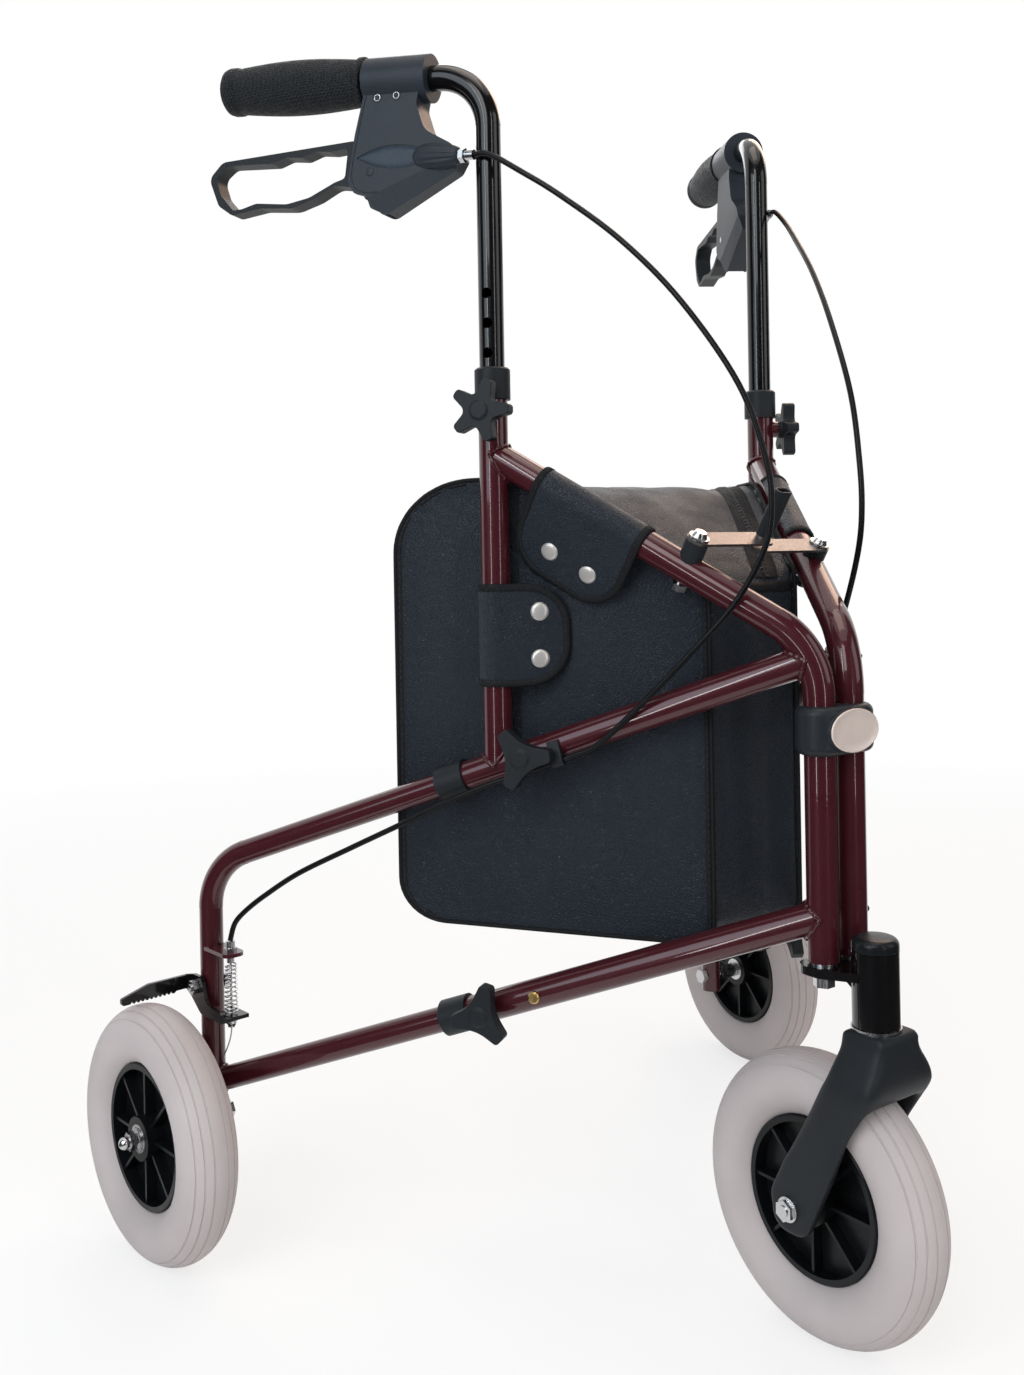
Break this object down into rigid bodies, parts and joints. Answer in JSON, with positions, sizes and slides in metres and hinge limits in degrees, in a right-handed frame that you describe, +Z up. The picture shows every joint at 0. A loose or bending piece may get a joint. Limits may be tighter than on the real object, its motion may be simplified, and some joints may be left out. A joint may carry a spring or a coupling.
{
  "type": "three wheel rollator",
  "caption": "Folding three wheel walker with swivelling front fork, height set handles, loop brakes on sprung shoes, a folding brace and a zipped pouch between the side frames.",
  "frame": {"origin": "on the floor under the middle of the whole walker", "axes": "+Z up, -Y the front with the steered wheel, +X the user's left hand side"},
  "size_m": [0.7362, 0.5924, 0.9529],
  "materials": {
    "frame_paint": "gloss metallic burgundy",
    "black_paint": "gloss black",
    "black_plastic": "satin moulded",
    "grip_rubber": "soft matt",
    "cable_jacket": "semi gloss",
    "pouch_vinyl": "coated, fine grain",
    "tyre": "matt foam tread",
    "steel": "bright zinc",
    "spring_steel": "drawn wire",
    "zinc_steel": "zinc plate",
    "badge_metal": "bare satin",
    "brass": "worn"
  },
  "bodies": {
    "column": {"front_bracket": "black_paint", "stem_cap": "black_plastic", "post_clamp": "black_plastic", "badge": "badge_metal", "stem_bearings": "steel", "post_bolts": "steel", "pouch": "pouch_vinyl"},
    "steering": {"fork": "black_plastic", "fork_stem": "steel", "front_axle": "steel"},
    "front_wheel": {"front_tyre": "tyre", "front_rim": "black_plastic", "front_bearings": "steel"},
    "right_side": {"right_frame": "frame_paint", "right_collars": "black_plastic", "right_leg": "frame_paint", "right_axle": "steel", "right_pivot_bolts": "steel", "right_cable_lower": "cable_jacket", "right_pouch_flaps": "pouch_vinyl", "right_brake_spring": "spring_steel"},
    "right_handle": {"right_handle_tube": "black_paint", "right_grip": "grip_rubber", "right_brake_housing": "black_plastic", "right_housing_hardware": "steel", "right_cable_upper": "cable_jacket"},
    "right_lever": {"right_brake_lever": "black_plastic"},
    "right_shoe": {"right_brake_shoe": "black_paint"},
    "right_wheel": {"right_tyre": "tyre", "right_rim": "black_plastic", "right_bearings": "steel"},
    "right_star": {"right_star_knob": "black_plastic"},
    "right_mid": {"right_mid_knob": "black_plastic"},
    "right_low": {"right_low_knob": "black_plastic"},
    "right_button": {"right_snap_button": "brass"},
    "right_link": {"right_brace_link": "zinc_steel", "brace_handle": "black_plastic"},
    "left_side": {"left_frame": "frame_paint", "left_collars": "black_plastic", "left_leg": "frame_paint", "left_axle": "steel", "left_pivot_bolts": "steel", "left_cable_lower": "cable_jacket", "left_pouch_flaps": "pouch_vinyl", "left_brake_spring": "spring_steel"},
    "left_handle": {"left_handle_tube": "black_paint", "left_grip": "grip_rubber", "left_brake_housing": "black_plastic", "left_housing_hardware": "steel", "left_cable_upper": "cable_jacket"},
    "left_lever": {"left_brake_lever": "black_plastic"},
    "left_shoe": {"left_brake_shoe": "black_paint"},
    "left_wheel": {"left_tyre": "tyre", "left_rim": "black_plastic", "left_bearings": "steel"},
    "left_star": {"left_star_knob": "black_plastic"},
    "left_mid": {"left_mid_knob": "black_plastic"},
    "left_low": {"left_low_knob": "black_plastic"},
    "left_button": {"left_snap_button": "brass"},
    "left_link": {"left_brace_link": "zinc_steel"}
  },
  "joints": [
    {"name": "fork_swivel", "type": "hinge", "parent": "column", "child": "steering", "pos_m": [0, -0.24525, 0.2], "axis": [0, 0, 1], "continuous": true},
    {"name": "front_wheel_spin", "type": "hinge", "parent": "steering", "child": "front_wheel", "pos_m": [0, -0.19625, 0.1], "axis": [1, 0, 0], "continuous": true},
    {"name": "right_fold", "type": "hinge", "parent": "column", "child": "right_side", "pos_m": [-0.015, -0.21325, 0.3], "axis": [0, 0, -1], "range_deg": [0, 28], "deforming": ["pouch"]},
    {"name": "right_brace_turn", "type": "hinge", "parent": "right_side", "child": "right_link", "pos_m": [-0.06511, -0.13609, 0.54328], "axis": [0, -0.5299, 0.848], "range_deg": [0, 100]},
    {"name": "right_handle_height", "type": "slide", "parent": "right_side", "child": "right_handle", "axis": [0, 0, 1], "range_m": [-0.0892, 0.0446], "deforming": ["right_cable_upper"]},
    {"name": "right_lever_squeeze", "type": "hinge", "parent": "right_handle", "child": "right_lever", "pos_m": [-0.19548, 0.06467, 0.85213], "axis": [0.8387, 0.5446, 0], "range_deg": [0, 11], "stiffness_Nm_per_rad": 1.2, "springref_deg": -17.19},
    {"name": "right_shoe_turn", "type": "hinge", "parent": "right_side", "child": "right_shoe", "pos_m": [-0.2846, 0.20189, 0.208], "axis": [-0.9945, -0.1045, 0], "range_deg": [0, 6], "deforming": ["right_brake_spring"]},
    {"name": "right_wheel_spin", "type": "hinge", "parent": "right_side", "child": "right_wheel", "pos_m": [-0.33432, 0.19667, 0.1], "axis": [-0.9945, -0.1045, 0], "continuous": true},
    {"name": "right_star_knob_turn", "type": "hinge", "parent": "right_side", "child": "right_star", "pos_m": [-0.1614, -0.02454, 0.662], "axis": [-0.8387, -0.5446, 0], "continuous": true},
    {"name": "right_mid_knob_turn", "type": "hinge", "parent": "right_side", "child": "right_mid", "pos_m": [-0.14669, -0.04718, 0.40687], "axis": [-0.8387, -0.5446, 0], "continuous": true},
    {"name": "right_low_knob_turn", "type": "hinge", "parent": "right_side", "child": "right_low", "pos_m": [-0.1663, -0.01699, 0.21505], "axis": [-0.8387, -0.5446, 0], "continuous": true},
    {"name": "right_button_press", "type": "slide", "parent": "right_side", "child": "right_button", "axis": [0.8387, 0.5446, 0], "range_m": [0, 0.0035], "stiffness_N_per_m": 800, "springref_m": -0.003},
    {"name": "left_fold", "type": "hinge", "parent": "column", "child": "left_side", "pos_m": [0.015, -0.21325, 0.3], "axis": [0, 0, 1], "range_deg": [0, 28]},
    {"name": "left_brace_turn", "type": "hinge", "parent": "left_side", "child": "left_link", "pos_m": [0.06511, -0.13609, 0.54328], "axis": [0, 0.5299, -0.848], "range_deg": [0, 100]},
    {"name": "left_handle_height", "type": "slide", "parent": "left_side", "child": "left_handle", "axis": [0, 0, 1], "range_m": [-0.0892, 0.0446], "deforming": ["left_cable_upper"]},
    {"name": "left_lever_squeeze", "type": "hinge", "parent": "left_handle", "child": "left_lever", "pos_m": [0.19548, 0.06467, 0.85213], "axis": [0.8387, -0.5446, 0], "range_deg": [0, 11], "stiffness_Nm_per_rad": 1.2, "springref_deg": -17.19},
    {"name": "left_shoe_turn", "type": "hinge", "parent": "left_side", "child": "left_shoe", "pos_m": [0.2846, 0.20189, 0.208], "axis": [-0.9945, 0.1045, 0], "range_deg": [0, 6], "deforming": ["left_brake_spring"]},
    {"name": "left_wheel_spin", "type": "hinge", "parent": "left_side", "child": "left_wheel", "pos_m": [0.33432, 0.19667, 0.1], "axis": [0.9945, -0.1045, 0], "continuous": true},
    {"name": "left_star_knob_turn", "type": "hinge", "parent": "left_side", "child": "left_star", "pos_m": [0.1614, -0.02454, 0.662], "axis": [0.8387, -0.5446, 0], "continuous": true},
    {"name": "left_mid_knob_turn", "type": "hinge", "parent": "left_side", "child": "left_mid", "pos_m": [0.14669, -0.04718, 0.40687], "axis": [0.8387, -0.5446, 0], "continuous": true},
    {"name": "left_low_knob_turn", "type": "hinge", "parent": "left_side", "child": "left_low", "pos_m": [0.1663, -0.01699, 0.21505], "axis": [0.8387, -0.5446, 0], "continuous": true},
    {"name": "left_button_press", "type": "slide", "parent": "left_side", "child": "left_button", "axis": [-0.8387, 0.5446, 0], "range_m": [0, 0.0035], "stiffness_N_per_m": 800, "springref_m": -0.003}
  ],
  "couplings": [
    {"joint": "right_shoe_turn", "follows": "right_lever_squeeze", "ratio": 0.54545},
    {"joint": "right_brace_turn", "follows": "right_fold", "ratio": 3.5714},
    {"joint": "left_shoe_turn", "follows": "left_lever_squeeze", "ratio": 0.54545},
    {"joint": "left_brace_turn", "follows": "right_fold", "ratio": 3.5714},
    {"joint": "left_fold", "follows": "right_fold", "ratio": 1}
  ]
}
